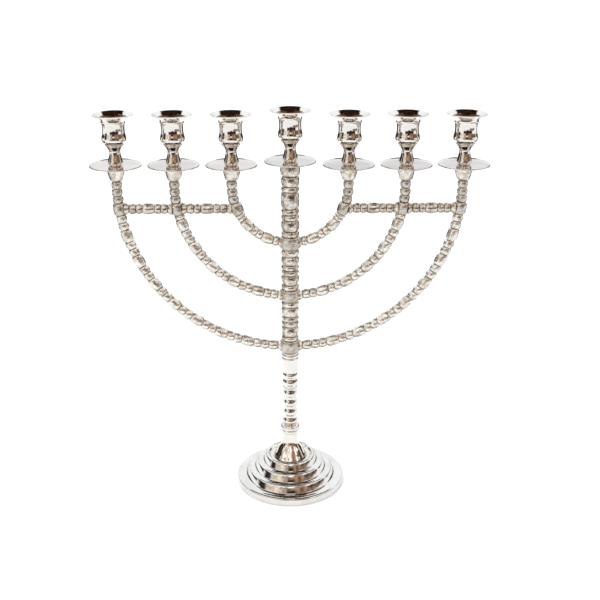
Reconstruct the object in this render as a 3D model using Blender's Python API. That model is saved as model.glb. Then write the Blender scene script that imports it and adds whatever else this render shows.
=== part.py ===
"""Seven-branch menorah in nickel-plated brass, as the separate pieces it is put together from.

Metres, +Z up. The origin is the centre of the foot on the surface that it stands on, and the
branches lie in the XZ plane. Dimensions below are in millimetres and are scaled by MM as the
meshes are made.

A threaded tie rod runs up the middle. From the nut under the foot it strings together the
stepped base, the bell, the turned stem, the three U-shaped branches with the two post lengths
between them, and the post's top length, which it screws into. Four crossbars tie the branches
to each other. On every tip a drip pan is clamped under a candle cup by the cup's stud.
"""
import math

import bmesh
import bpy
from mathutils import Vector

MM = 0.001
FIT_GAP = 0.3                        # clearance between pieces that touch

# Branches: three concentric half circles that run straight up to their tips.
BRANCH_RADII = {"inner": 58.0, "middle": 115.0, "outer": 172.0}
ARC_CENTRE_Z = 331.0
TIP_Z = 352.0                        # top of the six branch tips
POST_RISE = 3.7                      # how much higher the post carries its own cup
CROSSBAR_Z = 309.0

# Beaded bar that the branches and crossbars are cast as.
BAR_GROOVE = 3.9
BAR_RING = 5.2
BAR_LONG_BEAD = 5.5
LUMP = 6.2                           # swelling of a branch where a crossbar meets it
LUMP_HALF = 6.2                      # half length of the swelling
BAR_SIDES = 8

# Bosses that carry the branches on the tie rod: half height.
BOSS_HALF = {"inner": 6.6, "middle": 6.2, "outer": 7.0}
BOSS_RADIUS = 9.7
ARM_ROOT = 5.4                       # bar radius where it leaves the boss

# Centre post and stem.
POST_BEAD = 9.0
POST_GROOVE = 7.5
STEM_TOP_Z = ARC_CENTRE_Z - BRANCH_RADII["outer"] - BOSS_HALF["outer"] - FIT_GAP
STEM_FOOT_Z = 57.0
TURNED_SIDES = 16

# Foot: four round steps, hollow underneath.
BASE_RADII = (57.7, 47.8, 38.3, 29.0)
BASE_STEP = 8.0
BASE_WALL = 2.6
BASE_RIM = 4.0                       # width of the ring that it rests on
BASE_SIDES = 32
BELL_SEAT_Z = 28.7                   # floor of the dish in the top step

# Edges of the steps, as (inset from the step's radius, height above its foot). The lowest step
# stands upright and the others lean in. The top one has a raised rim round the bell's dish.
UPRIGHT_EDGE = ((0.0, 5.2), (0.7, 6.6), (2.4, 7.6), (5.0, 8.0))
LEANING_EDGE = ((0.9, 3.6), (2.1, 6.2), (3.8, 7.6), (5.6, 8.0))
DISHED_EDGE = ((0.9, 3.4), (1.9, 6.0), (3.2, 7.4), (4.7, 7.9), (6.2, 7.4), (9.2, 5.2))

# Candle cups and drip pans.
PAN_RADIUS = 25.8
PAN_THICKNESS = 1.1
PAN_LIP = 1.6                        # how far the edge turns up
PAN_SIDES = 20
CUP_SIDES = 14
SOCKET_RADIUS = 10.0
SOCKET_FLOOR = 25.0                  # height of the socket floor in the cup
CUP_HEIGHT = 51.1

# Threads: an M6 rod, studs and nut, drawn as plain cylinders in clearance holes.
ROD_RADIUS = 3.0
HOLE_RADIUS = ROD_RADIUS + FIT_GAP
ROD_BOTTOM_Z = 15.0
ROD_TOP_Z = 305.0
TIP_HOLE_DEPTH = 14.0
STUD_GRIP = 12.0                     # length of a stud in the tip, and again in its cup
THREAD_SIDES = 12
NUT_RADIUS = 5.8
NUT_HEIGHT = 5.0
WASHER_RADIUS = 9.0
WASHER_HEIGHT = 1.4

POLISHED = {"colour": (0.82, 0.80, 0.76), "roughness": 0.08}
CAST = {"colour": (0.56, 0.53, 0.47), "roughness": 0.38}
STEEL = {"colour": (0.48, 0.48, 0.49), "roughness": 0.32}


def clear_scene():
    for old in list(bpy.data.objects):
        bpy.data.objects.remove(old, do_unlink=True)


def metal(name, colour, roughness):
    material = bpy.data.materials.new(name)
    material.use_nodes = True
    shader = material.node_tree.nodes["Principled BSDF"]
    shader.inputs["Base Color"].default_value = (*colour, 1.0)
    shader.inputs["Roughness"].default_value = roughness
    shader.inputs["Metallic"].default_value = 1.0
    return material


def make_object(name, rings, finish, origin=(0.0, 0.0, 0.0), closed=False):
    """Join rings of points, in mm, into one closed body. A ring of one point is a pole."""
    mesh = bpy.data.meshes.new(name)
    body = bmesh.new()
    made = [[body.verts.new(Vector(point) * MM) for point in ring] for ring in rings]
    pairs = list(zip(made, made[1:]))
    if closed:
        pairs.append((made[-1], made[0]))
    for lower, upper in pairs:
        bridge(body, lower, upper)
    if not closed:
        for end in (made[0], made[-1]):
            if len(end) > 1:
                body.faces.new(end)
    bmesh.ops.recalc_face_normals(body, faces=body.faces)
    body.to_mesh(mesh)
    body.free()
    mesh.shade_smooth()
    mesh.set_sharp_from_angle(angle=math.radians(40.0))
    piece = bpy.data.objects.new(name, mesh)
    piece.location = Vector(origin) * MM
    mesh.materials.append(metal(name, **finish))
    bpy.context.scene.collection.objects.link(piece)
    return piece


def bridge(body, lower, upper):
    count = max(len(lower), len(upper))
    for k in range(count):
        corners = []
        for vert in (
            lower[k % len(lower)],
            lower[(k + 1) % len(lower)],
            upper[(k + 1) % len(upper)],
            upper[k % len(upper)],
        ):
            if vert not in corners:
                corners.append(vert)
        body.faces.new(corners)


def turned(name, outline, finish, origin=(0.0, 0.0, 0.0), sides=TURNED_SIDES):
    """Spin an outline of (radius, height) points about Z.

    An outline that starts and ends on the axis makes a solid, any other one a ring.
    """
    rings = []
    for radius, height in outline:
        if radius == 0.0:
            rings.append([(0.0, 0.0, height)])
            continue
        turn = [2.0 * math.pi * k / sides for k in range(sides)]
        rings.append([(radius * math.cos(a), radius * math.sin(a), height) for a in turn])
    on_axis = outline[0][0] == 0.0
    return make_object(name, rings, finish, origin, closed=not on_axis)


def bead_run(start, lengths, groove, long_crown, ring_crown, long_from):
    """Stations (place, radius) of a row of beads, from the groove that ends the first one.

    Beads of long_from or more have a cylindrical belly, and shorter ones are rings.
    """
    stations = []
    place = start
    for length in lengths:
        if length >= long_from:
            stations.append((place + 0.22 * length, long_crown))
            stations.append((place + 0.78 * length, long_crown))
        else:
            stations.append((place + 0.5 * length, ring_crown))
        place += length
        stations.append((place, groove))
    return stations


def post_beads(start, lengths):
    run = bead_run(start, lengths, POST_GROOVE, POST_BEAD, POST_BEAD - 0.2, long_from=8.0)
    return [(radius, height) for height, radius in run]


# ---------------------------------------------------------------- foot and stem


def make_base():
    edges = (UPRIGHT_EDGE, LEANING_EDGE, LEANING_EDGE, DISHED_EDGE)
    outline = [(BASE_RADII[0] - BASE_RIM, 0.0), (BASE_RADII[0], 0.0)]
    for level, (radius, edge) in enumerate(zip(BASE_RADII, edges)):
        foot = BASE_STEP * level
        if level:
            outline.append((radius, foot))
        outline += [(radius - inset, foot + height) for inset, height in edge]
    under = BELL_SEAT_Z - BASE_WALL
    outline += [(18.4, BELL_SEAT_Z), (HOLE_RADIUS, BELL_SEAT_Z), (HOLE_RADIUS, under)]
    outline += [(19.8, under), (23.0, under + 2.1), (24.4, under + 2.1), (25.0, under + 1.0)]
    for level in reversed(range(len(BASE_RADII))):
        inside = BASE_RADII[level] - BASE_RIM
        if level + 1 < len(BASE_RADII):
            outline.append((inside, BASE_STEP * (level + 1) - BASE_WALL))
        if level:
            outline.append((inside, BASE_STEP * level - BASE_WALL))
    return turned("base", outline, POLISHED, sides=BASE_SIDES)


def make_bell():
    outline = [
        (HOLE_RADIUS, BELL_SEAT_Z + FIT_GAP),
        (18.0, BELL_SEAT_Z + FIT_GAP),
        (17.7, 29.8),
        (15.7, 33.2),
        (12.7, 38.6),
        (11.0, 41.2),
        (9.5, 43.8),
        (8.5, 46.4),
        (8.0, 49.4),
        (7.6, STEM_FOOT_Z - FIT_GAP),
        (HOLE_RADIUS, STEM_FOOT_Z - FIT_GAP),
    ]
    return turned("bell", outline, POLISHED, sides=20)


def make_stem():
    outline = [
        (HOLE_RADIUS, STEM_FOOT_Z),
        (7.6, STEM_FOOT_Z),
        (7.7, 59.6),
        (10.6, 61.2),
        (10.6, 62.0),
        (7.9, 66.6),
        (7.1, 67.4),
        (8.4, 70.0),
        (8.4, 74.2),
        (6.9, 77.0),
        (8.2, 80.2),
        (8.2, 85.0),
        (6.9, 88.2),
        (8.2, 91.4),
        (8.2, 95.8),
        (6.9, 99.0),
        (8.2, 102.2),
        (8.2, 107.0),
        (6.9, 110.2),
        (7.7, 111.4),
        (6.9, 112.6),
        (8.3, 115.4),
        (8.3, 119.6),
        (7.0, 122.4),
        (8.0, 124.4),
        (8.0, 127.0),
        (7.4, 129.2),
        (8.7, 130.4),
        (8.7, 145.0),
        (7.9, 146.4),
        (9.2, 147.4),
        (9.2, 150.0),
        (8.4, STEM_TOP_Z),
        (HOLE_RADIUS, STEM_TOP_Z),
    ]
    return turned("stem", outline, POLISHED)


# ---------------------------------------------------------------- centre post


def boss_span(which):
    middle = ARC_CENTRE_Z - BRANCH_RADII[which]
    return middle - BOSS_HALF[which], middle + BOSS_HALF[which]


def make_post_length(name, below, above, shares):
    """A beaded length of post between the bosses of two branches, bored for the tie rod."""
    start = boss_span(below)[1] + FIT_GAP
    end = boss_span(above)[0] - FIT_GAP
    unit = (end - start) / sum(shares)
    lengths = [share * unit for share in shares]
    outline = [(HOLE_RADIUS, start), (POST_GROOVE, start)]
    outline += post_beads(start, lengths)
    outline.append((HOLE_RADIUS, end))
    return turned(name, outline, CAST)


def make_upper_post():
    start = boss_span("inner")[1] + FIT_GAP
    top = TIP_Z + POST_RISE
    neck = 342.5
    lengths = [6.0, 11.5, 6.0, 6.0, 17.5, 5.5]
    lengths.append(neck - start - sum(lengths))
    outline = [(0.0, ROD_TOP_Z + 4.0), (HOLE_RADIUS, ROD_TOP_Z + 4.0), (HOLE_RADIUS, start)]
    outline.append((POST_GROOVE, start))
    outline += post_beads(start, lengths)
    outline += [(9.6, neck + 2.5), (10.0, top - 3.0), (10.0, top)]
    outline += [(HOLE_RADIUS, top), (HOLE_RADIUS, top - TIP_HOLE_DEPTH)]
    outline.append((0.0, top - TIP_HOLE_DEPTH))
    return turned("upper_post", outline, CAST)


# ---------------------------------------------------------------- branches and crossbars


def along_branch(radius, place):
    """Centre of the bar and its inward normal, in (x, z), at a distance along from the boss."""
    quarter = radius * math.pi / 2.0
    side = math.copysign(1.0, place)
    if abs(place) > quarter:
        height = ARC_CENTRE_Z + abs(place) - quarter
        return (side * radius, height), (-side, 0.0)
    angle = place / radius
    centre = (radius * math.sin(angle), ARC_CENTRE_Z - radius * math.cos(angle))
    return centre, (-math.sin(angle), math.cos(angle))


def bar_ring(centre, normal, radius):
    ring = []
    for k in range(BAR_SIDES):
        turn = 2.0 * math.pi * k / BAR_SIDES
        across = radius * math.cos(turn)
        ring.append(
            (centre[0] + across * normal[0], radius * math.sin(turn), centre[1] + across * normal[1])
        )
    return ring


def bar_beads(start, lengths):
    return bead_run(start, lengths, BAR_GROOVE, BAR_LONG_BEAD, BAR_RING, long_from=10.0)


def crossing_place(radius):
    """Distance along a branch from its boss to where the crossbar's axis meets it."""
    return radius * math.acos((ARC_CENTRE_Z - CROSSBAR_Z) / radius)


def tip_place(radius):
    return radius * math.pi / 2.0 + TIP_Z - ARC_CENTRE_Z


def arm_stations(radius, first_bead, shares):
    """Stations (place, radius) from the boss to the bottom of the tip's threaded hole."""
    crossing = crossing_place(radius)
    tip = tip_place(radius)
    capital = tip - 14.5
    stations = [(0.0, ARM_ROOT), (BOSS_RADIUS + 1.0, ARM_ROOT), (first_bead, BAR_GROOVE)]
    unit = (crossing - LUMP_HALF - first_bead) / sum(shares)
    stations += bar_beads(first_bead, [share * unit for share in shares])
    lump_end = crossing + LUMP_HALF
    stations += [(crossing - 4.0, LUMP), (crossing + 4.0, LUMP), (lump_end, BAR_GROOVE)]
    ring = (capital - lump_end) / 3.0
    stations += bar_beads(lump_end, [ring] * 3)
    stations += [(capital + 1.5, 6.4), (tip - 10.5, 7.4), (tip - 1.2, 9.3), (tip, 9.3)]
    stations += [(tip, HOLE_RADIUS), (tip - TIP_HOLE_DEPTH, HOLE_RADIUS)]
    return stations


def cutter(name, outline, sides=TURNED_SIDES):
    tool = turned(name, outline, CAST, sides=sides)
    tool.hide_render = True
    tool.display_type = "WIRE"
    return tool


def combine(piece, tool, operation):
    step = piece.modifiers.new(tool.name, "BOOLEAN")
    step.operation = operation
    step.solver = "EXACT"
    step.object = tool


def make_branch(which, first_bead, shares):
    radius = BRANCH_RADII[which]
    half = arm_stations(radius, first_bead, shares)
    both = [(-place, bar) for place, bar in reversed(half[1:])] + half
    rings = [bar_ring(*along_branch(radius, place), bar) for place, bar in both]
    name = f"{which}_branch"
    branch = make_object(name, rings, CAST)
    low, high = boss_span(which)
    boss = [(0.0, low), (BOSS_RADIUS - 0.9, low), (BOSS_RADIUS, low + 2.0)]
    boss += [(BOSS_RADIUS, high - 2.0), (BOSS_RADIUS - 0.9, high), (0.0, high)]
    combine(branch, cutter(f"{name}_boss", boss), "UNION")
    bore = [(0.0, low - 5.0), (HOLE_RADIUS, low - 5.0), (HOLE_RADIUS, high + 5.0), (0.0, high + 5.0)]
    combine(branch, cutter(f"{name}_bore", bore), "DIFFERENCE")
    return branch


def make_crossbar(name, inner, outer, side):
    """A beaded bar between two branches, its ends cut to lie along them."""
    ends = []
    for which, towards in ((inner, 1.0), (outer, -1.0)):
        radius = BRANCH_RADII[which]
        angle = crossing_place(radius) / radius
        reach = (LUMP + FIT_GAP + 0.2) / math.sin(angle)
        ends.append((radius * math.sin(angle) + towards * reach, angle))
    (start, start_angle), (end, end_angle) = ends
    shares = (7.0, 7.0, 13.0, 7.0, 7.0)
    margin = 2.6                     # room that the slanted end faces need
    unit = (end - start - 2.0 * margin) / sum(shares)
    run = bar_beads(start + margin, [share * unit for share in shares])
    places = [(start, BAR_RING, start_angle), (start + margin, BAR_GROOVE, math.pi / 2.0)]
    places += [(place, bar, math.pi / 2.0) for place, bar in run]
    places.append((end, BAR_RING, end_angle))
    rings = []
    for place, bar, angle in places:
        lean = (math.cos(angle) / math.sin(angle), 1.0)
        ring = bar_ring((place, CROSSBAR_Z), lean, bar)
        rings.append([(side * x, y, z) for x, y, z in ring])
    return make_object(name, rings, CAST)


# ---------------------------------------------------------------- pans, cups and fasteners


def make_pan(number, x, seat):
    """Thin round pan with a turned-up edge, bored for the cup's stud."""
    outline = [
        (HOLE_RADIUS, 0.0),
        (PAN_RADIUS - 3.0, 0.0),
        (PAN_RADIUS, PAN_LIP),
        (PAN_RADIUS - 0.5, PAN_LIP + 0.8),
        (PAN_RADIUS - 3.4, PAN_THICKNESS),
        (HOLE_RADIUS, PAN_THICKNESS),
    ]
    return turned(f"drip_pan_{number}", outline, POLISHED, (x, 0.0, seat), PAN_SIDES)


def make_cup(number, x, seat):
    """Turned cup: foot, waist, round belly and a wide flange round the candle socket."""
    rim = CUP_HEIGHT
    outline = [
        (0.0, STUD_GRIP + 1.0),
        (HOLE_RADIUS, STUD_GRIP + 1.0),
        (HOLE_RADIUS, 0.0),
        (6.0, 0.0),
        (7.4, 1.8),
        (7.5, 3.8),
        (6.2, 8.8),
        (5.4, 14.2),
        (5.9, 16.2),
        (8.8, 19.8),
        (9.5, 22.6),
        (11.6, 24.8),
        (12.1, 28.0),
        (10.9, 32.5),
        (10.9, 37.0),
        (11.8, 43.8),
        (13.2, 45.9),
        (16.0, 47.6),
        (20.2, rim - 0.8),
        (20.0, rim),
        (15.0, rim - 2.3),
        (SOCKET_RADIUS, rim - 6.4),
        (SOCKET_RADIUS, SOCKET_FLOOR),
        (0.0, SOCKET_FLOOR),
    ]
    return turned(f"candle_cup_{number}", outline, POLISHED, (x, 0.0, seat), CUP_SIDES)


def make_stud(number, x, seat):
    low = PAN_THICKNESS + 2.0 * FIT_GAP + STUD_GRIP
    outline = [(0.0, -low), (ROD_RADIUS, -low), (ROD_RADIUS, STUD_GRIP), (0.0, STUD_GRIP)]
    return turned(f"cup_stud_{number}", outline, STEEL, (x, 0.0, seat), THREAD_SIDES)


def make_candle_place(number, x, tip):
    pan_seat = tip + FIT_GAP
    cup_seat = pan_seat + PAN_THICKNESS + FIT_GAP
    make_pan(number, x, pan_seat)
    make_cup(number, x, cup_seat)
    make_stud(number, x, cup_seat)


def make_tie_rod():
    outline = [(0.0, ROD_BOTTOM_Z), (ROD_RADIUS, ROD_BOTTOM_Z), (ROD_RADIUS, ROD_TOP_Z), (0.0, ROD_TOP_Z)]
    turned("tie_rod", outline, STEEL, sides=THREAD_SIDES)
    washer_top = BELL_SEAT_Z - BASE_WALL - FIT_GAP
    washer_low = washer_top - WASHER_HEIGHT
    washer = [(HOLE_RADIUS, washer_low), (WASHER_RADIUS, washer_low)]
    washer += [(WASHER_RADIUS, washer_top), (HOLE_RADIUS, washer_top)]
    turned("base_washer", washer, STEEL)
    nut_top = washer_low - FIT_GAP
    nut_bore = HOLE_RADIUS / math.cos(math.pi / 6.0)
    nut = [(nut_bore, nut_top - NUT_HEIGHT), (NUT_RADIUS, nut_top - NUT_HEIGHT)]
    nut += [(NUT_RADIUS, nut_top), (nut_bore, nut_top)]
    turned("base_nut", nut, STEEL, sides=6)


def main():
    clear_scene()
    make_base()
    make_bell()
    make_stem()
    make_branch("outer", 13.0, [9.6, *[7.85, 7.85, 13.0] * 7, 7.85, 7.85])
    make_post_length("lower_post", "outer", "middle", (5.0, 10.5, 5.5, 5.5, 10.0, 6.0))
    make_branch("middle", 13.0, [7.1, 7.1, 12.3] * 5 + [6.4])
    make_post_length("middle_post", "middle", "inner", (6.0, 10.0, 5.5, 5.5, 9.0, 7.5))
    make_branch("inner", 12.0, [5.5, 11.5, 6.1, 6.1, 11.8, 4.5, 4.5])
    make_upper_post()
    for side, hand in ((-1.0, "left"), (1.0, "right")):
        make_crossbar(f"inner_crossbar_{hand}", "inner", "middle", side)
        make_crossbar(f"outer_crossbar_{hand}", "middle", "outer", side)
    reach = sorted(BRANCH_RADII.values())
    places = [-x for x in reversed(reach)] + [0.0] + reach
    for number, x in enumerate(places, start=1):
        make_candle_place(number, x, TIP_Z if x else TIP_Z + POST_RISE)
    make_tie_rod()


main()
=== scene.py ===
import math

import bmesh
import bpy
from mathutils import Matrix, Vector, noise


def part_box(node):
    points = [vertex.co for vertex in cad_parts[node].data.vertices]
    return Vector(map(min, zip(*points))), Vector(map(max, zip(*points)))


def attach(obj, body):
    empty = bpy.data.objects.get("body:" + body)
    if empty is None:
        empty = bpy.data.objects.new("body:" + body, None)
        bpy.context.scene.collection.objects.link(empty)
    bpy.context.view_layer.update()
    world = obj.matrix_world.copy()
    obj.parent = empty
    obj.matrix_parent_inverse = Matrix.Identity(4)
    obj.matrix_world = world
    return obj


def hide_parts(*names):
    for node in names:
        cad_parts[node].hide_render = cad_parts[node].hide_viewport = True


# Looks of the seven-branch menorah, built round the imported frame. Metres, +Z up.
#
# Every solid of the frame is replaced by a finely turned or cast piece in the same place: polished
# nickel plate on the foot, bell, stem, pans and cups, and dull cast plate on the branches, the
# crossbars and the post. Outlines are in millimetres and are scaled by MM as the meshes are made.

MM = 0.001
ORIGIN = (0.0, 0.0, 0.0)
FIT_GAP = 0.3                        # the frame's gap between touching pieces
SEAT = 0.28                          # how much of that gap the pieces here close
CUPS = range(1, 8)
HOLE_RADIUS = 3.3                    # holes that the tie rod and the studs pass through
THREAD_RADIUS = 3.0
TIP_HOLE_DEPTH = 14.0
SHARP_ANGLE = math.radians(38.0)     # edges that turn more than this stay crisp
ON_AXIS = 1e-6                       # an outline's point within this of the axis is a pole
TURNED_SIDES = 128
POST_SIDES = 72
BAR_SIDES = 32
THREAD_SIDES = 40
WASHER_SIDES = 64
NUT_SIDES = 96

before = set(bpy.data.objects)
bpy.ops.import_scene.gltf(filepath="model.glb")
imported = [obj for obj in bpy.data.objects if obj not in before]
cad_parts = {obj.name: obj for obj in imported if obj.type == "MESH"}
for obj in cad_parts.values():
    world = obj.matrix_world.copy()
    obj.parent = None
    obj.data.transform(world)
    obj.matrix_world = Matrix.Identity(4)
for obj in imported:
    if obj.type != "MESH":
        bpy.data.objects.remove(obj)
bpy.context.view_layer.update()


# ------------------------------------------------------------------ measures from the frame, mm


def box_mm(node):
    low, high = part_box(node)
    return Vector(low) / MM, Vector(high) / MM


def span(node):
    low, high = box_mm(node)
    return low.z, high.z


def middle_x(node):
    low, high = box_mm(node)
    return (low.x + high.x) / 2.0


CUP_X = {number: middle_x(f"candle_cup_{number}") for number in CUPS}
BRANCH_RADII = {"outer": abs(CUP_X[1]), "middle": abs(CUP_X[2]), "inner": abs(CUP_X[3])}
BELOW = {"outer": "stem", "middle": "lower_post", "inner": "middle_post"}
ABOVE = {"outer": "lower_post", "middle": "middle_post", "inner": "upper_post"}
TIP_Z = span("outer_branch")[1]
CROSSBAR_Z = sum(span("outer_crossbar_left")) / 2.0


def boss_span(which):
    return span(BELOW[which])[1], span(ABOVE[which])[0]


ARC_CENTRE_Z = BRANCH_RADII["outer"] + sum(boss_span("outer")) / 2.0


# ------------------------------------------------------------------ materials


def new_material(name):
    material = bpy.data.materials.new(name)
    material.use_nodes = True
    tree = material.node_tree
    return material, tree, tree.nodes["Principled BSDF"]


def add_node(tree, kind, **values):
    """A node with its properties set by lower-case name and its inputs by their own name."""
    node = tree.nodes.new(kind)
    for key, value in values.items():
        if key in node.inputs.keys():
            node.inputs[key].default_value = value
        else:
            setattr(node, key, value)
    return node


def object_noise(tree, scale, detail, roughness=0.5):
    place = add_node(tree, "ShaderNodeTexCoord")
    texture = add_node(tree, "ShaderNodeTexNoise", Scale=scale, Detail=detail, Roughness=roughness)
    tree.links.new(place.outputs["Object"], texture.inputs["Vector"])
    return texture.outputs["Fac"]


def ramp(tree, source, *stops):
    """Maps a value to colours: each stop is (place, (r, g, b))."""
    node = add_node(tree, "ShaderNodeValToRGB")
    elements = node.color_ramp.elements
    while len(elements) < len(stops):
        elements.new(0.5)
    for element, (place, colour) in zip(elements, stops):
        element.position = place
        element.color = (*colour, 1.0)
    tree.links.new(source, node.inputs["Fac"])
    return node.outputs["Color"]


def remap(tree, source, low, high, to_low, to_high, easing="LINEAR"):
    node = add_node(tree, "ShaderNodeMapRange", interpolation_type=easing)
    for socket, value in zip(("From Min", "From Max", "To Min", "To Max"), (low, high, to_low, to_high)):
        node.inputs[socket].default_value = value
    tree.links.new(source, node.inputs["Value"])
    return node.outputs["Result"]


def mixed(tree, factor, first, second, blend="MIX"):
    """Blends two colours, each an output socket or (r, g, b), by an output socket."""
    node = add_node(tree, "ShaderNodeMix", data_type="RGBA", blend_type=blend)
    tree.links.new(factor, node.inputs["Factor"])
    for name, colour in (("A", first), ("B", second)):
        if isinstance(colour, tuple):
            node.inputs[name].default_value = (*colour, 1.0)
        else:
            tree.links.new(colour, node.inputs[name])
    return node.outputs["Result"]


def computed(tree, operation, first, second):
    """Does maths on an output socket and a second value, which is a socket or a number."""
    node = add_node(tree, "ShaderNodeMath", operation=operation)
    tree.links.new(first, node.inputs[0])
    if isinstance(second, float):
        node.inputs[1].default_value = second
    else:
        tree.links.new(second, node.inputs[1])
    return node.outputs["Value"]


def bump(tree, source, strength, depth, below=None):
    """Normals of a rough surface, depth in metres. below is a bump that this one lies on."""
    node = add_node(tree, "ShaderNodeBump", Strength=strength, Distance=depth)
    tree.links.new(source, node.inputs["Height"])
    if below is not None:
        tree.links.new(below, node.inputs["Normal"])
    return node.outputs["Normal"]


def polished_plate(name, thin, thick):
    """Buffed nickel over brass: a mirror with slow ripples and a faint haze.

    thin and thick are its colours where the brass shows through more, and less.
    """
    material, tree, shader = new_material(name)
    shader.inputs["Metallic"].default_value = 1.0
    tint = ramp(
        tree,
        object_noise(tree, 60.0, 3.0),
        (0.30, thin),
        (0.70, thick),
    )
    tree.links.new(tint, shader.inputs["Base Color"])
    haze = remap(tree, object_noise(tree, 240.0, 4.0), 0.35, 0.75, 0.02, 0.07)
    tree.links.new(haze, shader.inputs["Roughness"])
    ripple = bump(tree, object_noise(tree, 110.0, 2.0), 0.14, 0.0006)
    grain = bump(tree, object_noise(tree, 1400.0, 2.0), 0.03, 0.0002, ripple)
    tree.links.new(grain, shader.inputs["Normal"])
    return material


def socket_bore():
    """Inside of a candle socket: turned but never buffed, and painted deep brown as shade in the recess.
    """
    material, tree, shader = new_material("socket_bore")
    shader.inputs["Metallic"].default_value = 1.0
    tint = ramp(
        tree,
        object_noise(tree, 120.0, 4.0),
        (0.30, (0.070, 0.030, 0.020)),
        (0.72, (0.24, 0.12, 0.08)),
    )
    tree.links.new(tint, shader.inputs["Base Color"])
    haze = remap(tree, object_noise(tree, 300.0, 4.0), 0.3, 0.7, 0.22, 0.42)
    tree.links.new(haze, shader.inputs["Roughness"])
    tree.links.new(bump(tree, object_noise(tree, 500.0, 3.0), 0.25, 0.0003), shader.inputs["Normal"])
    return material


UNDERSIDE_SHADE = (0.42, 0.37, 0.30)         # painted shade that darkens the downward-facing sides of the castings


def cast_plate(name, haze_low, haze_high, crown_colours, groove_shade_colour, metallic):
    """Plate over a sand casting: satin and pitted, with painted brown shade in its grooves and on its
    undersides.

    The crowns of the beads are mottled with three colours, from the most worn to the brightest.
    """
    material, tree, shader = new_material(name)
    shader.inputs["Metallic"].default_value = metallic
    crown = ramp(tree, object_noise(tree, 190.0, 5.0, 0.6), *zip((0.33, 0.50, 0.68), crown_colours))
    # Painted shade: the mottled crowns darken towards the groove shade colour as the hollow weight
    # rises.
    hollow = add_node(tree, "ShaderNodeAttribute", attribute_name="hollow")
    darkness = remap(tree, hollow.outputs["Fac"], 0.35, 1.0, 0.0, 0.70)
    wear_and_groove_shade = mixed(tree, darkness, crown, groove_shade_colour)
    # Painted shade: faces that look down are multiplied towards brown.
    facing = add_node(tree, "ShaderNodeNewGeometry")
    axes = add_node(tree, "ShaderNodeSeparateXYZ")
    tree.links.new(facing.outputs["Normal"], axes.inputs["Vector"])
    undersides = remap(tree, axes.outputs["Z"], -0.9, 0.1, 1.0, 0.0)
    underside_shaded = mixed(tree, undersides, wear_and_groove_shade, UNDERSIDE_SHADE, "MULTIPLY")
    tree.links.new(underside_shaded, shader.inputs["Base Color"])
    haze = remap(tree, object_noise(tree, 420.0, 4.0), 0.3, 0.7, haze_low, haze_high)
    tree.links.new(haze, shader.inputs["Roughness"])
    dents = bump(tree, object_noise(tree, 260.0, 3.0), 0.60, 0.0008)
    pits = bump(tree, object_noise(tree, 1500.0, 3.0), 0.25, 0.0002, dents)
    tree.links.new(pits, shader.inputs["Normal"])
    return material


def thread_steel():
    """Zinc-plated steel, slightly streaked."""
    material, tree, shader = new_material("thread_steel")
    shader.inputs["Metallic"].default_value = 1.0
    tint = ramp(
        tree,
        object_noise(tree, 200.0, 4.0),
        (0.3, (0.40, 0.40, 0.42)),
        (0.7, (0.60, 0.60, 0.60)),
    )
    tree.links.new(tint, shader.inputs["Base Color"])
    haze = remap(tree, object_noise(tree, 600.0, 3.0), 0.3, 0.7, 0.25, 0.45)
    tree.links.new(haze, shader.inputs["Roughness"])
    tree.links.new(bump(tree, object_noise(tree, 900.0, 2.0), 0.2, 0.0002), shader.inputs["Normal"])
    return material


PLATE = polished_plate("polished_plate", (0.69, 0.645, 0.59), (0.77, 0.73, 0.68))
CUP_PLATE = polished_plate("polished_cup_plate", (0.71, 0.64, 0.56), (0.82, 0.775, 0.71))
PAN_PLATE = polished_plate("polished_pan_plate", (0.62, 0.56, 0.495), (0.72, 0.675, 0.62))
BORE = socket_bore()
CAST = cast_plate(
    "cast_plate",
    haze_low=0.18,
    haze_high=0.34,
    crown_colours=((0.50, 0.41, 0.29), (0.84, 0.795, 0.715), (0.98, 0.955, 0.905)),
    groove_shade_colour=(0.34, 0.28, 0.21),
    metallic=0.92,
)
POST_CAST = cast_plate(
    "cast_post_plate",
    haze_low=0.10,
    haze_high=0.22,
    crown_colours=((0.32, 0.24, 0.16), (0.68, 0.62, 0.53), (0.88, 0.85, 0.79)),
    groove_shade_colour=(0.24, 0.19, 0.14),
    metallic=0.95,
)
STEEL = thread_steel()


# ------------------------------------------------------------------ outlines


def flowing(points, steps=6):
    """Points along a Catmull-Rom curve through the given (radius, height) points."""
    knots = [Vector(p) for p in points]
    padded = [2.0 * knots[0] - knots[1], *knots, 2.0 * knots[-1] - knots[-2]]
    made = []
    for k in range(1, len(padded) - 2):
        before, start, end, after = padded[k - 1 : k + 3]
        for step in range(steps):
            t = step / steps
            bend = 2.0 * before - 5.0 * start + 4.0 * end - after
            turn = 3.0 * start - before - 3.0 * end + after
            made.append(start + 0.5 * t * ((end - before) + t * (bend + t * turn)))
    made.append(knots[-1])
    return [(p.x, p.y) for p in made]


def bead(low, high, groove, crown, fullness=2.0, steps=10):
    """(radius, height) points of one round bead, from its lower groove to its upper one.

    A fullness of 2 is an ellipse, and more is squarer.
    """
    middle, half = (low + high) / 2.0, (high - low) / 2.0
    made = []
    for step in range(steps + 1):
        t = -math.cos(math.pi * step / steps)
        swell = (1.0 - abs(t) ** fullness) ** 0.5
        made.append((groove + (crown - groove) * swell, middle + t * half))
    return made


def wave(low, high, groove, crown, steps=16):
    """Like a bead, but hollowed as softly at its grooves as it swells at its crown."""
    made = []
    for step in range(steps + 1):
        t = step / steps
        swell = 0.5 - 0.5 * math.cos(2.0 * math.pi * t)
        made.append((groove + (crown - groove) * swell, low + t * (high - low)))
    return made


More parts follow.
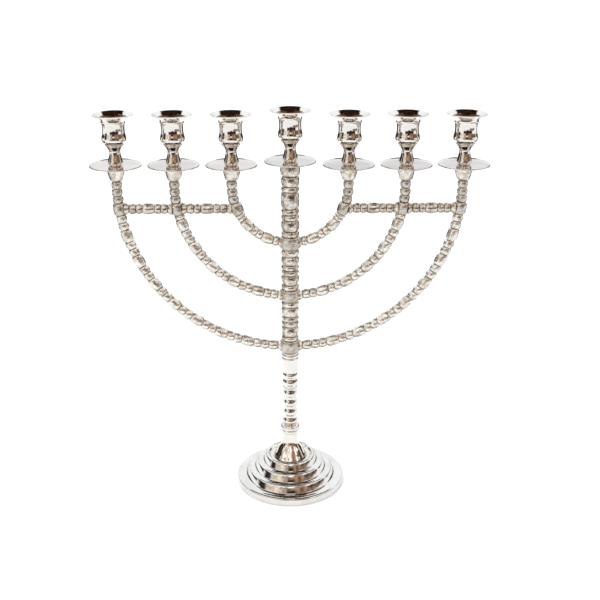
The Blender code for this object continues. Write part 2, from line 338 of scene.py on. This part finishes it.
def rounded(corner, before, after, radius, steps=4):
    """Points that round a corner of an outline between two neighbours."""
    corner, before, after = Vector(corner), Vector(before), Vector(after)
    start = corner + (before - corner).normalized() * radius
    end = corner + (after - corner).normalized() * radius
    made = []
    for step in range(steps + 1):
        t = step / steps
        p = (1 - t) ** 2 * start + 2 * t * (1 - t) * corner + t**2 * end
        made.append((p.x, p.y))
    return made


def softened(points, radius):
    """A polyline outline with each of its inner corners rounded."""
    made = [points[0]]
    for before, corner, after in zip(points, points[1:], points[2:]):
        made += rounded(corner, before, after, radius)
    made.append(points[-1])
    return made


# ------------------------------------------------------------------ mesh making


def finish_piece(name, body, location, node, rides_on, materials):
    """Makes the piece that stands in for a node of the frame. The location is in mm."""
    bmesh.ops.remove_doubles(body, verts=body.verts, dist=1e-7)
    bmesh.ops.recalc_face_normals(body, faces=body.faces)
    mesh = bpy.data.meshes.new(name)
    body.to_mesh(mesh)
    body.free()
    for material in materials:
        mesh.materials.append(material)
    mesh.shade_smooth()
    mesh.set_sharp_from_angle(angle=SHARP_ANGLE)
    piece = bpy.data.objects.new(name, mesh)
    piece.location = Vector(location) * MM
    bpy.context.scene.collection.objects.link(piece)
    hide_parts(node)
    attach(piece, rides_on)
    return piece


def bridge(body, lower, upper, material_index):
    """Faces between two rings of vertices, either of which may be a single pole."""
    count = max(len(lower), len(upper))
    for k in range(count):
        corners = []
        for vert in (
            lower[k % len(lower)],
            lower[(k + 1) % len(lower)],
            upper[(k + 1) % len(upper)],
            upper[k % len(upper)],
        ):
            if vert not in corners:
                corners.append(vert)
        if len(corners) > 2:
            body.faces.new(corners).material_index = material_index


def skin(rings, loop=False, bore_from=None):
    """A closed body through rings of (point in mm, hollow) pairs. One-point rings are poles.

    hollow runs from 0 on a bead's crown to 1 in its groove, and weights the painted shade of the cast
    plate. From ring bore_from on, the faces take the second material.
    """
    body = bmesh.new()
    layer = body.verts.layers.float.new("hollow")
    made = []
    for ring in rings:
        verts = []
        for point, hollow in ring:
            vert = body.verts.new(Vector(point) * MM)
            vert[layer] = hollow
            verts.append(vert)
        made.append(verts)
    pairs = list(zip(made, made[1:]))
    if loop:
        pairs.append((made[-1], made[0]))
    for index, (lower, upper) in enumerate(pairs):
        bridge(body, lower, upper, 1 if bore_from is not None and index >= bore_from else 0)
    if not loop:
        for end in (made[0], made[-1]):
            if len(end) > 1:
                body.faces.new(end)
    return body


def cast_swell(point, seed):
    """How far a sand casting's surface strays from its pattern, in mm."""
    place = Vector(point) + Vector((seed, 2.0 * seed, 0.0))
    return 0.30 * noise.noise(place / 6.0) + 0.14 * noise.noise(place / 2.6)


def circle(radius, height, sides):
    angles = [2.0 * math.pi * k / sides for k in range(sides)]
    return [(radius * math.cos(angle), radius * math.sin(angle), height) for angle in angles]


def swollen(point, radius, seed):
    """A point on a circle round the axis, moved in or out as a casting strays."""
    x, y, height = point
    share = (radius + cast_swell(point, seed)) / radius
    return x * share, y * share, height


def turned_rings(outline, sides, crown=None, groove=None, seed=None):
    """Rings of a spun outline. With crown and groove radii it is shaded, with a seed it is uneven."""
    rings = []
    for radius, height in outline:
        if radius <= ON_AXIS:
            rings.append([((0.0, 0.0, height), 0.0)])
            continue
        hollow = 0.0
        if crown is not None:
            hollow = min(max((crown - radius) / (crown - groove), 0.0), 1.0)
        ring = circle(radius, height, sides)
        if seed is not None:
            ring = [swollen(point, radius, seed) for point in ring]
        rings.append([(point, hollow) for point in ring])
    return rings


def turned(name, outline, node, rides_on="stand", x=0.0, z=0.0, sides=TURNED_SIDES, finish=None):
    """A piece spun from its outline, which closes on itself unless it starts on the axis."""
    on_axis = outline[0][0] <= ON_AXIS
    material, slot = finish or (PLATE, "polished_plate")
    body = skin(turned_rings(outline, sides), loop=not on_axis)
    return finish_piece(name, body, (x, 0.0, z), node, rides_on, [material])


# ------------------------------------------------------------------ foot, bell and stem


STEP_HEIGHT = 8.0
STEP_SHARES = (1.0, 0.828, 0.664, 0.503)     # of the foot's radius

# Edges of the foot's steps, as (inset from the step's radius, height above its foot), and the
# dish in the top step that the bell stands in.
UPRIGHT_EDGE = ((0.0, 1.0), (0.0, 4.0), (0.1, 5.6), (0.5, 6.9), (1.3, 7.6), (2.6, 7.95), (4.6, 8.0))
LEANING_EDGE = ((0.15, 0.4), (0.85, 2.3), (1.65, 4.3), (2.5, 6.2), (3.2, 7.3), (4.2, 7.85), (5.8, 8.0))
DISHED_EDGE = ((0.15, 0.4), (0.85, 2.3), (1.6, 4.3), (2.4, 6.2), (3.1, 7.2), (4.0, 7.8), (4.9, 7.9))
DISH = ((5.7, 7.45), (6.5, 6.45), (7.3, 5.5), (8.2, 4.95), (10.2, 4.8))


def make_foot():
    foot_radius = box_mm("base")[1].x
    seat = span("bell")[0] - FIT_GAP
    radii = [foot_radius * share for share in STEP_SHARES]
    edges = (UPRIGHT_EDGE, LEANING_EDGE, LEANING_EDGE, DISHED_EDGE + DISH)
    rim, wall = 4.0, 2.6
    outline = softened([(foot_radius - rim, 0.0), (foot_radius, 0.0), (foot_radius, 0.9)], 0.4)
    for level, (radius, edge) in enumerate(zip(radii, edges)):
        foot = STEP_HEIGHT * level
        outline += flowing([(radius - inset, foot + height) for inset, height in edge], 5)
        if level + 1 < len(radii):
            tread, following = foot + STEP_HEIGHT, radii[level + 1]
            outline += [(following + 0.4, tread), (following - 0.05, tread + 0.3)]
    outline += [(18.4, seat), (HOLE_RADIUS, seat), (HOLE_RADIUS, seat - wall)]
    under = [(19.8, seat - wall), (23.0, seat - 0.5), (24.4, seat - 0.5), (25.0, seat - 1.6)]
    for level in reversed(range(len(radii))):
        inside = radii[level] - rim
        if level + 1 < len(radii):
            under.append((inside, STEP_HEIGHT * (level + 1) - wall))
        if level:
            under.append((inside, STEP_HEIGHT * level - wall))
    under.append((foot_radius - rim, 0.2))
    outline += softened([(HOLE_RADIUS + 0.1, seat - wall), *under], 0.6)
    turned("foot", outline, "base")


def make_bell():
    low, high = span("bell")
    outline = [(HOLE_RADIUS, low - SEAT), (17.5, low - SEAT), (17.9, low)]
    outline += flowing(
        [
            (18.0, low + 0.2),
            (17.7, low + 0.8),
            (16.9, low + 2.2),
            (15.7, low + 4.2),
            (14.3, low + 6.8),
            (12.7, low + 9.6),
            (11.0, low + 12.2),
            (9.5, low + 14.8),
            (8.5, low + 17.4),
            (8.0, low + 20.4),
            (7.7, low + 24.0),
            (7.6, high),
        ],
        7,
    )
    outline.append((HOLE_RADIUS, high))
    turned("bell_dome", outline, "bell", finish=(CUP_PLATE, "polished_plate"))


def make_stem():
    low, high = span("stem")
    outline = [(HOLE_RADIUS, low), (7.6, low)]
    outline += flowing(
        [
            (7.6, low + 0.3),
            (7.7, low + 2.6),
            (8.6, low + 3.2),
            (10.2, low + 3.8),
            (10.6, low + 4.4),
            (10.3, low + 5.4),
            (10.15, low + 6.6),
            (9.95, low + 8.1),
            (8.9, low + 9.5),
            (7.9, low + 10.1),
        ],
        6,
    )
    beads = (                        # from, to, crown radius, groove radius
        (67.2, 77.0, 8.4, 7.0),
        (77.0, 88.2, 8.2, 6.9),
        (88.2, 99.0, 8.2, 6.9),
        (99.0, 110.2, 8.2, 6.9),
        (110.2, 112.6, 7.7, 6.9),
        (112.6, 122.4, 8.3, 6.9),
        (122.4, 129.0, 8.0, 7.0),
    )
    for start, end, crown, groove in beads:
        outline += wave(start, end, groove, crown)[:-1]
    outline += softened([(7.6, 129.1), (8.7, 129.9), (8.7, 145.4), (8.0, 146.3), (8.0, 146.8)], 0.4)
    outline += bead(146.9, 150.6, 8.2, 9.3, 2.4, 10)
    outline += [(8.4, 150.7), (8.4, high), (HOLE_RADIUS, high)]
    turned("stem_turned", outline, "stem")


# ------------------------------------------------------------------ post

POST_BEAD, POST_GROOVE = 9.1, 7.5
POST_RING = POST_BEAD - 0.15
POST_RING_BELOW = 8.0                # shorter beads are rings
POST_SQUARE_FROM = 14.0              # longer ones are squarer
POST_CAPITAL_HEIGHT = 13.5


def post_run(start, lengths):
    made = []
    for length in lengths:
        crown = POST_BEAD if length >= POST_RING_BELOW else POST_RING
        fullness = 3.0 if length >= POST_SQUARE_FROM else 2.0
        made += bead(start, start + length, POST_GROOVE, crown, fullness, 10)
        start += length
    return made


def cast_post(name, outline, node, seed):
    on_axis = outline[0][0] <= ON_AXIS
    rings = turned_rings(outline, POST_SIDES, POST_BEAD, POST_GROOVE, seed)
    body = skin(rings, loop=not on_axis)
    finish_piece(name, body, ORIGIN, node, "stand", [POST_CAST])


def make_post_length(name, node, shares, seed):
    start, end = span(node)
    start, end = start - SEAT, end + SEAT
    unit = (end - start) / sum(shares)
    outline = [(HOLE_RADIUS, start), (POST_GROOVE, start)]
    outline += post_run(start, [share * unit for share in shares])
    outline += [(POST_GROOVE, end), (HOLE_RADIUS, end)]
    cast_post(name, outline, node, seed)


def make_upper_post():
    start, top = span("upper_post")
    start, top = start - SEAT, top + SEAT
    neck = top - POST_CAPITAL_HEIGHT
    lengths = [6.0, 11.5, 6.0, 6.0, 17.5, 5.5]
    lengths.append(neck - start - sum(lengths))
    outline = [(HOLE_RADIUS, start), (POST_GROOVE, start)]
    outline += post_run(start, lengths)
    capital = [(8.2, neck + 0.4), (9.5, neck + 2.2), (10.0, neck + 5.5)]
    capital += [(9.8, top - 3.0), (10.0, top - 0.6)]
    outline += flowing(capital, 5)
    outline += [(9.7, top), (HOLE_RADIUS, top)]
    cast_post("post_top", outline, "upper_post", 5.0)


# ------------------------------------------------------------------ branches and crossbars

BAR_GROOVE, BAR_RING, BAR_LONG = 3.9, 5.3, 5.7
BAR_LONG_FROM = 10.0                 # length from which a bead is a long one
LUMP = 6.4                           # swelling of a branch where a crossbar meets it
LUMP_HALF = 6.2                      # half length of the swelling
CAPITAL_HEIGHT = 14.5
CAPITAL_FROM = 6.6                   # a tip's bar is thinner than this below its capital

# Painted shade: how far the cast lumps, and the branches above their crossings, darken towards the
# groove colour.
BOSS_SHADE = 0.85
TIP_SHADE = 0.72
BOSS_REACH = 10.3                    # the shade covers this much either side of the axis


def along_branch(radius, place):
    """Centre of the bar and its inward normal, in (x, z), at a distance along from the boss."""
    quarter = radius * math.pi / 2.0
    side = math.copysign(1.0, place)
    if abs(place) > quarter:
        height = ARC_CENTRE_Z + abs(place) - quarter
        return (side * radius, height), (-side, 0.0)
    angle = place / radius
    centre = (radius * math.sin(angle), ARC_CENTRE_Z - radius * math.cos(angle))
    return centre, (-math.sin(angle), math.cos(angle))


def bar_ring(centre, normal, radius, seed):
    """One ring of a bar, whose centre and normal are in (x, z)."""
    hollow = min(max((BAR_RING - radius) / (BAR_RING - BAR_GROOVE), 0.0), 1.0)
    ring = []
    for k in range(BAR_SIDES):
        turn = 2.0 * math.pi * k / BAR_SIDES
        out = Vector((normal[0] * math.cos(turn), math.sin(turn), normal[1] * math.cos(turn)))
        point = Vector((centre[0], 0.0, centre[1])) + radius * out
        ring.append((tuple(point + cast_swell(point, seed) * out), hollow))
    return ring


def bar_run(start, lengths):
    """Stations (place, radius) of a row of beads on a bar."""
    made = []
    for length in lengths:
        if length >= BAR_LONG_FROM:
            one = bead(start, start + length, BAR_GROOVE, BAR_LONG, 2.8, 12)
        else:
            one = bead(start, start + length, BAR_GROOVE, BAR_RING, 2.0, 8)
        made += [(place, radius) for radius, place in one[:-1]]
        start += length
    made.append((start, BAR_GROOVE))
    return made


def crossing_place(radius):
    """How far along a branch its crossbar is."""
    return radius * math.acos((ARC_CENTRE_Z - CROSSBAR_Z) / radius)


def arm_stations(radius, first_bead, shares):
    """Stations (place, radius) from the boss along one arm and down the hole in its tip."""
    tip = radius * math.pi / 2.0 + TIP_Z + SEAT - ARC_CENTRE_Z
    crossing = crossing_place(radius)
    capital = tip - CAPITAL_HEIGHT
    root = [(6.2, 7.5), (6.1, 9.4), (4.9, first_bead - 1.2), (BAR_GROOVE, first_bead)]
    made = [(0.0, 5.4), (4.0, 5.6)] + [(s, r) for r, s in flowing(root, 4)]
    unit = (crossing - LUMP_HALF - first_bead) / sum(shares)
    made += bar_run(first_bead, [share * unit for share in shares])
    lump = bead(crossing - LUMP_HALF, crossing + LUMP_HALF, BAR_GROOVE + 0.6, LUMP, 2.6, 14)
    made += [(s, r) for r, s in lump]
    rings_from = crossing + LUMP_HALF
    made += bar_run(rings_from, [(capital - rings_from) / 3.0] * 3)
    bell = [(5.6, capital + 0.6), (6.5, capital + 1.8), (7.1, capital + 3.4), (8.3, tip - 6.5)]
    bell += [(9.2, tip - 2.6), (9.3, tip - 0.8)]
    made += [(s, r) for r, s in flowing(bell, 5)]
    made += [(tip, 9.0), (tip, HOLE_RADIUS), (tip - TIP_HOLE_DEPTH, HOLE_RADIUS)]
    return made


def make_branch(which, first_bead, shares, seed):
    radius = BRANCH_RADII[which]
    half = arm_stations(radius, first_bead, shares)
    both = [(-place, bar) for place, bar in reversed(half[1:])] + half
    rings = [bar_ring(*along_branch(radius, place), bar, seed) for place, bar in both]
    # Painted shade: between its crossing and its capital, the branch is darkened like a groove.
    tip_shade_from = crossing_place(radius) - LUMP_HALF
    for k, (place, bar) in enumerate(both):
        if tip_shade_from < abs(place) and bar < CAPITAL_FROM:
            rings[k] = [(point, max(hollow, TIP_SHADE)) for point, hollow in rings[k]]
    body = skin(rings)
    node = f"{which}_branch"
    piece = finish_piece(f"{which}_arms", body, ORIGIN, node, "stand", [CAST])
    add_boss(piece, which, seed)


def add_boss(piece, which, seed):
    """Unites the cast lump that the post runs through with its branch."""
    low, high = boss_span(which)
    outline = [(0.0, low + 0.2), (8.4, low + 0.2)]
    barrel = [(9.0, low + 0.6), (9.9, low + 2.6), (10.1, (low + high) / 2.0)]
    barrel += [(9.9, high - 2.6), (9.0, high - 0.6)]
    outline += flowing(barrel, 5)
    outline += [(8.4, high - 0.2), (0.0, high - 0.2)]
    body = skin(turned_rings(outline, POST_SIDES, seed=seed))
    bmesh.ops.recalc_face_normals(body, faces=body.faces)
    mesh = bpy.data.meshes.new("boss")
    body.to_mesh(mesh)
    body.free()
    tool = bpy.data.objects.new("boss", mesh)
    bpy.context.scene.collection.objects.link(tool)
    step = piece.modifiers.new("boss", "BOOLEAN")
    step.operation = "UNION"
    step.solver = "EXACT"
    step.object = tool
    apply_modifiers(piece)
    bpy.data.objects.remove(tool, do_unlink=True)
    # Painted shade: every vertex of the lump is darkened like a groove.
    hollow = piece.data.attributes["hollow"].data
    for vert, shade in zip(piece.data.vertices, hollow):
        if abs(vert.co.x) < BOSS_REACH * MM:
            shade.value = BOSS_SHADE


def apply_modifiers(piece):
    """Bakes the modifiers into the mesh, and smooths it again."""
    graph = bpy.context.evaluated_depsgraph_get()
    made = bpy.data.meshes.new_from_object(piece.evaluated_get(graph), depsgraph=graph)
    piece.modifiers.clear()
    piece.data = made
    made.shade_smooth()
    made.set_sharp_from_angle(angle=SHARP_ANGLE)


def make_crossbar(inner, outer, node, seed):
    """A beaded bar whose flared ends run into the lumps of its two branches."""
    side = math.copysign(1.0, middle_x(node))
    ends = []
    clear, flare = 5.2, 4.6          # from the branch's centre line, and length of the flared end
    for which, towards in ((inner, 1.0), (outer, -1.0)):
        radius = BRANCH_RADII[which]
        angle = crossing_place(radius) / radius
        ends.append(radius * math.sin(angle) + towards * clear)
    start, end = ends
    shares = (7.0, 7.0, 13.0, 7.0, 7.0)
    unit = (end - start - 2.0 * flare) / sum(shares)
    stations = [(start, 6.3), (start + 1.4, 5.9), (start + 3.0, 5.0), (start + flare - 0.4, 4.2)]
    stations += bar_run(start + flare, [share * unit for share in shares])
    stations += [(end - flare + 0.4, 4.2), (end - 3.0, 5.0), (end - 1.4, 5.9), (end, 6.3)]
    rings = [bar_ring((side * place, CROSSBAR_Z), (0.0, 1.0), bar, seed) for place, bar in stations]
    body = skin(rings)
    finish_piece(f"{node}_cast", body, ORIGIN, node, "stand", [POST_CAST])


# ------------------------------------------------------------------ pans, cups and fasteners


def make_pan(number):
    node = f"drip_pan_{number}"
    low, high = box_mm(node)
    edge = (high.x - low.x) / 2.0
    thick = 1.1
    lip = high.z - low.z
    below = [(edge - 8.0, 0.0), (edge - 4.0, 0.1), (edge - 1.6, 0.6), (edge - 0.1, lip - 1.3)]
    outline = [(HOLE_RADIUS, 0.0), *flowing(below, 5)]
    outline += [(edge, lip - 1.1), (edge - 0.15, lip - 0.3), (edge - 0.4, lip), (edge - 0.7, lip - 0.1)]
    outline += flowing([(edge - 1.4, lip - 0.5), (edge - 3.6, thick + 0.2), (edge - 8.0, thick)], 5)
    outline.append((HOLE_RADIUS, thick))
    finish = (PAN_PLATE, "polished_plate")
    turned(f"pan_{number}", outline, node, x=CUP_X[number], z=low.z, finish=finish)


def cup_outline(height):
    """Outline from the stud's hole, down under the foot, up the outside and into the socket.

    Returns the points, and the index at which the unpolished socket begins.
    """
    socket, floor = 10.0, 25.0
    hole_top = 13.0
    outline = [(0.0, hole_top), (HOLE_RADIUS, hole_top), (HOLE_RADIUS, -SEAT), (5.9, -SEAT)]
    outline += flowing(
        [
            (6.0, 0.0),
            (6.8, 0.7),
            (7.4, 1.9),
            (7.5, 3.4),
            (7.0, 5.8),
            (6.2, 8.8),
            (5.6, 11.6),
            (5.4, 13.6),
            (5.55, 15.0),
            (6.2, 16.3),
            (7.2, 17.9),
            (8.0, 19.2),
        ],
        5,
    )
    outline += [(8.0, 19.5), (7.8, 19.9)] + bead(20.1, 22.2, 8.0, 9.4, 2.0, 10) + [(8.4, 22.5)]
    outline += flowing(
        [
            (9.4, 22.6),
            (10.8, 23.5),
            (11.9, 25.2),
            (12.15, 27.2),
            (11.9, 29.2),
            (11.3, 31.4),
            (10.95, 34.0),
            (10.95, 38.0),
            (11.35, 41.8),
        ],
        6,
    )
    outline += [(11.9, 42.4), (12.1, 43.1), (11.9, 43.8)]
    flange = [(12.1, 44.3), (13.6, 46.2), (16.4, 48.1), (19.6, height - 1.1), (20.1, height - 0.7)]
    outline += flowing(flange, 6)
    outline += [(20.2, height - 0.35), (20.0, height - 0.05), (19.7, height)]
    funnel = [(19.2, height - 0.1), (16.4, height - 1.5), (14.6, height - 2.5), (13.7, height - 3.1)]
    outline += flowing(funnel, 6)
    bore_from = len(outline)
    outline += flowing([(13.6, height - 3.2), (12.5, height - 4.0), (11.0, height - 5.6)], 4)
    outline += flowing([(10.5, height - 6.6), (10.2, height - 7.6), (socket, height - 9.6)], 3)
    outline += [(socket, floor + 0.6), (socket - 0.6, floor), (0.0, floor)]
    return outline, bore_from


def make_cup(number):
    node = f"candle_cup_{number}"
    low, high = box_mm(node)
    outline, bore_from = cup_outline(high.z - low.z)
    body = skin(turned_rings(outline, TURNED_SIDES), bore_from=bore_from)
    place = (CUP_X[number], 0.0, low.z)
    name, rides_on, materials = f"turned_cup_{number}", f"cup_{number}", [CUP_PLATE, BORE]
    finish_piece(name, body, place, node, rides_on, materials)


def thread_outline(low, high, radius, pitch=1.0, depth=0.6):
    """A rod whose sides are a row of thread crests, chamfered at both ends."""
    made = [(0.0, low), (radius - depth, low)]
    turns = int((high - low) / pitch)
    for turn in range(turns):
        foot = low + turn * pitch
        made += [(radius - depth, foot + 0.1 * pitch), (radius, foot + 0.45 * pitch)]
        made += [(radius, foot + 0.6 * pitch), (radius - depth, foot + 0.95 * pitch)]
    made += [(radius - depth, high), (0.0, high)]
    return made


def make_stud(number):
    node = f"cup_stud_{number}"
    low, high = span(node)
    outline = thread_outline(0.0, high - low, THREAD_RADIUS)
    steel = (STEEL, "thread_steel")
    rides_on = f"cup_lift_{number}"
    turned(f"stud_{number}", outline, node, rides_on, CUP_X[number], low, THREAD_SIDES, steel)


def make_tie_rod():
    """Rod, threaded where the nut is, and plain further up where nothing shows."""
    low, high = span("tie_rod")
    thread_end = low + 16.0
    chamfer = 0.6
    outline = thread_outline(low, thread_end, THREAD_RADIUS)[:-1]
    outline += [(THREAD_RADIUS, thread_end + chamfer), (THREAD_RADIUS, high - chamfer)]
    outline += [(THREAD_RADIUS - chamfer, high), (0.0, high)]
    turned("rod", outline, "tie_rod", sides=THREAD_SIDES, finish=(STEEL, "thread_steel"))


def make_washer():
    low, high = span("base_washer")
    outline = [(HOLE_RADIUS, low), (8.6, low), (9.0, low + 0.3)]
    outline += [(9.0, high - 0.3), (8.6, high), (HOLE_RADIUS, high)]
    turned("washer", outline, "base_washer", sides=WASHER_SIDES, finish=(STEEL, "thread_steel"))


def make_nut():
    """Hexagon nut, its corners chamfered where a cone cuts across them."""
    low, high = span("base_nut")
    flat, chamfer, cone = 5.0, 0.5, 4.9
    corner = flat / math.cos(math.pi / 6.0)
    limits = ((low, cone), (low + chamfer, corner), (high - chamfer, corner), (high, cone))
    rings = []
    for height, limit in limits:
        ring = []
        for k in range(NUT_SIDES):
            angle = 2.0 * math.pi * k / NUT_SIDES
            hexagon = flat / math.cos((angle % (math.pi / 3.0)) - math.pi / 6.0)
            radius = min(hexagon, limit)
            ring.append((radius * math.cos(angle), radius * math.sin(angle), height))
        rings.append(ring)
    rings += [circle(HOLE_RADIUS, height, NUT_SIDES) for height in (high, low)]
    body = skin([[(point, 0.0) for point in ring] for ring in rings], loop=True)
    finish_piece("nut", body, ORIGIN, "base_nut", "stand", [STEEL])


# ------------------------------------------------------------------ stage, light and camera

ROOM_WHITE = (0.94, 1.0, 1.07)
ROOM_STRENGTH = 1.22
ROOM_WOBBLE = 0.16                   # how far the edges of the patches wander, about in radians

# The room that the metal mirrors, as patches laid one over another on plain white: azimuth range
# round from the front, elevation range, softness of the edges in each (all in degrees), and the
# two colours that the patch is mottled with.
ROOM = (
    ((166, 194), (-2, 20), (8, 4), (0.70, 0.73, 0.78), (0.88, 0.90, 0.95)),
    ((-194, -166), (-2, 20), (8, 4), (0.70, 0.73, 0.78), (0.88, 0.90, 0.95)),
    ((-200, 200), (66, 95), (4, 3), (0.006, 0.003, 0.0015), (0.035, 0.018, 0.010)),
    ((-200, -112), (47, 70), (5, 3), (0.006, 0.003, 0.0015), (0.035, 0.018, 0.010)),
    ((112, 200), (47, 70), (5, 3), (0.006, 0.003, 0.0015), (0.035, 0.018, 0.010)),
    ((-80, 90), (18, 50), (8, 4), (0.20, 0.13, 0.09), (1.65, 1.62, 1.60)),
    ((-32, 100), (0, 20), (6, 3), (0.02, 0.012, 0.009), (0.40, 0.28, 0.20)),
    ((-60, -12), (2, 21), (9, 4), (0.40, 0.34, 0.28), (1.00, 0.92, 0.82)),
    ((16, 42), (12, 52), (5, 4), (0.24, 0.11, 0.07), (0.66, 0.42, 0.30)),
    ((-90, -64), (-6, 16), (7, 4), (0.008, 0.006, 0.006), (0.05, 0.03, 0.02)),
    ((-32, 56), (-11, 1), (4, 2), (0.006, 0.004, 0.005), (0.05, 0.025, 0.025)),
    ((-9, 13), (0, 12), (3, 2), (0.006, 0.004, 0.005), (0.05, 0.025, 0.025)),
    ((28, 84), (-16, -11), (4, 2), (0.10, 0.05, 0.04), (0.30, 0.18, 0.14)),
    ((-160, -92), (-46, -18), (5, 4), (0.03, 0.02, 0.015), (0.22, 0.15, 0.11)),
    ((110, 160), (-46, -18), (5, 4), (0.03, 0.02, 0.015), (0.26, 0.18, 0.13)),
    ((-100, -82), (6, 27), (3, 3), (0.010, 0.006, 0.004), (0.07, 0.04, 0.025)),
    ((-128, -98), (-3, 18), (3, 3), (0.010, 0.006, 0.004), (0.07, 0.04, 0.025)),
    ((-162, -126), (-18, 8), (3, 3), (0.010, 0.006, 0.004), (0.07, 0.04, 0.025)),
    ((106, 130), (-3, 16), (3, 3), (0.012, 0.007, 0.005), (0.12, 0.07, 0.04)),
    ((126, 162), (-18, 8), (3, 3), (0.012, 0.007, 0.005), (0.12, 0.07, 0.04)),
)


def range_mask(tree, value, low, high, soft):
    """1 between two angles, easing to 0 over soft either side. All in degrees but the value."""
    low, high, soft = math.radians(low), math.radians(high), math.radians(soft)
    rising = remap(tree, value, low - soft, low + soft, 0.0, 1.0, "SMOOTHSTEP")
    falling = remap(tree, value, high - soft, high + soft, 1.0, 0.0, "SMOOTHSTEP")
    return computed(tree, "MULTIPLY", rising, falling)


def room_angles(tree, direction):
    """Azimuth and elevation of a direction, a little wobbled so that no edge is ruled."""
    wobble = add_node(tree, "ShaderNodeTexNoise", Scale=3.0, Detail=2.0)
    tree.links.new(direction, wobble.inputs["Vector"])
    shifted = add_node(tree, "ShaderNodeVectorMath", operation="MULTIPLY_ADD")
    tree.links.new(wobble.outputs["Color"], shifted.inputs[0])
    shifted.inputs[1].default_value = (ROOM_WOBBLE,) * 3
    tree.links.new(direction, shifted.inputs[2])
    centred = add_node(tree, "ShaderNodeVectorMath", operation="SUBTRACT")
    tree.links.new(shifted.outputs["Vector"], centred.inputs[0])
    centred.inputs[1].default_value = (ROOM_WOBBLE / 2.0,) * 3
    axes = add_node(tree, "ShaderNodeSeparateXYZ")
    tree.links.new(centred.outputs["Vector"], axes.inputs["Vector"])
    front = computed(tree, "MULTIPLY", axes.outputs["Y"], -1.0)
    azimuth = computed(tree, "ARCTAN2", axes.outputs["X"], front)
    elevation = add_node(tree, "ShaderNodeMath", operation="ARCSINE")
    tree.links.new(axes.outputs["Z"], elevation.inputs[0])
    return azimuth, elevation.outputs["Value"]


def make_world():
    world = bpy.data.worlds.new("studio")
    bpy.context.scene.world = world
    world.use_nodes = True
    tree = world.node_tree
    direction = add_node(tree, "ShaderNodeTexCoord").outputs["Generated"]
    azimuth, elevation = room_angles(tree, direction)
    mottle = add_node(tree, "ShaderNodeTexNoise", Scale=4.0, Detail=3.0, Roughness=0.6)
    tree.links.new(direction, mottle.inputs["Vector"])
    fraction = remap(tree, mottle.outputs["Fac"], 0.36, 0.62, 0.0, 1.0)
    colour = ROOM_WHITE
    for azimuths, elevations, soft, dark, light in ROOM:
        across = range_mask(tree, azimuth, *azimuths, soft[0])
        up = range_mask(tree, elevation, *elevations, soft[1])
        patch = mixed(tree, fraction, dark, light)
        colour = mixed(tree, computed(tree, "MULTIPLY", across, up), colour, patch)
    seen = add_node(tree, "ShaderNodeLightPath").outputs["Is Camera Ray"]
    plain = mixed(tree, seen, colour, (1.0, 1.0, 1.0))
    background = tree.nodes["Background"]
    background.inputs["Strength"].default_value = ROOM_STRENGTH
    tree.links.new(plain, background.inputs["Color"])


def make_floor():
    """A round of pale floor, a hair below the foot so that their faces don't fight."""
    radius, drop, sides = 0.62, 0.0002, 96
    material, tree, shader = new_material("pale_floor")
    tint = ramp(
        tree,
        object_noise(tree, 3.0, 3.0),
        (0.3, (0.87, 0.91, 0.94)),
        (0.7, (0.90, 0.94, 0.97)),
    )
    tree.links.new(tint, shader.inputs["Base Color"])
    shader.inputs["Roughness"].default_value = 0.6
    mesh = bpy.data.meshes.new("floor")
    mesh.from_pydata(circle(radius, 0.0, sides), [], [tuple(range(sides))])
    mesh.materials.append(material)
    floor = bpy.data.objects.new("floor", mesh)
    bpy.context.scene.collection.objects.link(floor)
    floor.location.z = -drop


def make_light(name, location, size, energy):
    """A soft white panel aimed at the middle of the stand."""
    lamp = bpy.data.lights.new(name, "AREA")
    lamp.shape = "RECTANGLE"
    lamp.size, lamp.size_y = size
    lamp.energy = energy
    light = bpy.data.objects.new(name, lamp)
    light.location = location
    aim = Vector((0.0, 0.0, 0.2)) - Vector(location)
    light.rotation_euler = aim.to_track_quat("-Z", "Y").to_euler()
    light.visible_camera = False
    light.visible_glossy = False
    bpy.context.scene.collection.objects.link(light)


def make_camera():
    """Just left of the middle and above the cups, looking down a little."""
    data = bpy.data.cameras.new("camera")
    data.sensor_width = 36.0
    data.lens = 60.94
    data.shift_x = 0.01635
    data.shift_y = -0.0517
    camera = bpy.data.objects.new("camera", data)
    camera.location = (-0.01464, -0.9789, 0.5954)
    camera.rotation_euler = (math.radians(70.27), 0.0, math.radians(-0.857))
    bpy.context.scene.collection.objects.link(camera)
    bpy.context.scene.camera = camera


def main():
    # The lists are the lengths of the beads in order, as shares of the room that there is.
    make_foot()
    make_bell()
    make_stem()
    make_post_length("post_low", "lower_post", (5.0, 10.5, 5.5, 5.5, 10.0, 6.0), 3.0)
    make_post_length("post_mid", "middle_post", (6.0, 10.0, 5.5, 5.5, 9.0, 7.5), 4.0)
    make_upper_post()
    make_branch("outer", 13.0, [9.6, *[7.85, 7.85, 13.0] * 7, 7.85, 7.85], 11.0)
    make_branch("middle", 13.0, [7.1, 7.1, 12.3] * 5 + [4.6], 23.0)
    make_branch("inner", 12.0, [5.5, 11.5, 6.1, 6.1, 11.8, 3.6, 3.6], 37.0)
    for hand, seed in (("left", 41.0), ("right", 53.0)):
        make_crossbar("inner", "middle", f"inner_crossbar_{hand}", seed)
        make_crossbar("middle", "outer", f"outer_crossbar_{hand}", seed + 5.0)
    for number in CUPS:
        make_pan(number)
        make_cup(number)
        make_stud(number)
    make_tie_rod()
    make_washer()
    make_nut()
    make_world()
    make_floor()
    make_light("overhead", (-0.3, -0.1, 2.2), (2.2, 2.0), 51.0)
    make_camera()
    bpy.context.scene.view_settings.view_transform = "Standard"


main()
